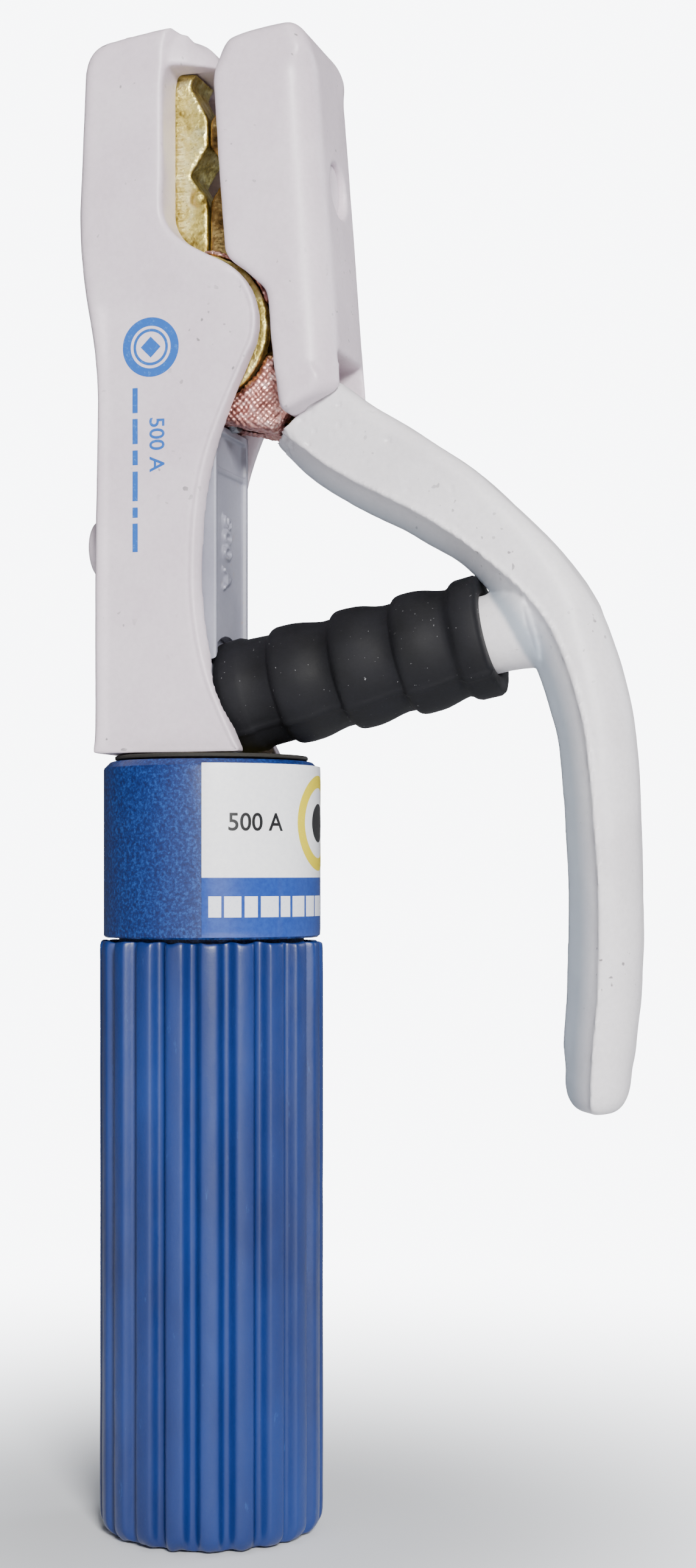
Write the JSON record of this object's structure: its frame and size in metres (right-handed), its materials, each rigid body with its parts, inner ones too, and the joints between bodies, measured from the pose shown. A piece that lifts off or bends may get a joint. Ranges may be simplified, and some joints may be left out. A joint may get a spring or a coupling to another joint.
{
  "type": "welding electrode holder",
  "caption": "Spring-closed welding electrode holder: grooved brass jaws under insulating covers, a curved squeeze lever and a ribbed tubular handle.",
  "frame": {"origin": "centre of the handle's rear end, where the welding cable enters", "axes": "+Z along the handle towards the jaws, +X towards the lever, Y across the thickness"},
  "size_m": [0.0995, 0.0406, 0.263],
  "materials": {
    "insulation": "satin",
    "channel_insulation": "satin",
    "handle_tube": "speckled matte",
    "grip": "moulded satin",
    "label": "gloss laminate",
    "fibre": "matte",
    "brass": "cast and tumbled",
    "copper": "woven strands",
    "steel": "zinc plated",
    "rubber": "moulded matte"
  },
  "bodies": {
    "holder_body": {"handle_tube": "handle_tube", "handle_collar": "handle_tube", "grip_sleeve": "grip", "rating_label": "label", "handle_screw": "steel", "fibre_washer": "fibre", "cable_shim": "copper", "cable_screw_lower": "steel", "cable_screw_upper": "steel", "body_casting": "brass", "fixed_cover": "insulation", "fixed_cover_screw": "steel", "channel_cover": "channel_insulation", "pivot_pin": "steel", "thrust_washer_front": "brass", "thrust_washer_rear": "brass", "retaining_ring_front": "steel", "retaining_ring_rear": "steel", "spring_seat": "steel", "return_spring": "steel", "spring_boot": "rubber", "copper_braid": "copper", "braid_screw_body": "steel"},
    "lever": {"lever_casting": "brass", "upper_jaw_cover": "insulation", "lever_sleeve": "insulation", "upper_cover_screw": "steel", "braid_screw_lever": "steel", "spring_plate": "steel"}
  },
  "joints": [
    {"name": "lever_pivot", "type": "hinge", "parent": "holder_body", "child": "lever", "pos_m": [0, 0, 0.212], "axis": [0, 1, 0], "range_deg": [0, 15], "stiffness_Nm_per_rad": 8, "springref_deg": -20.05, "deforming": ["return_spring", "spring_boot", "copper_braid"]}
  ]
}
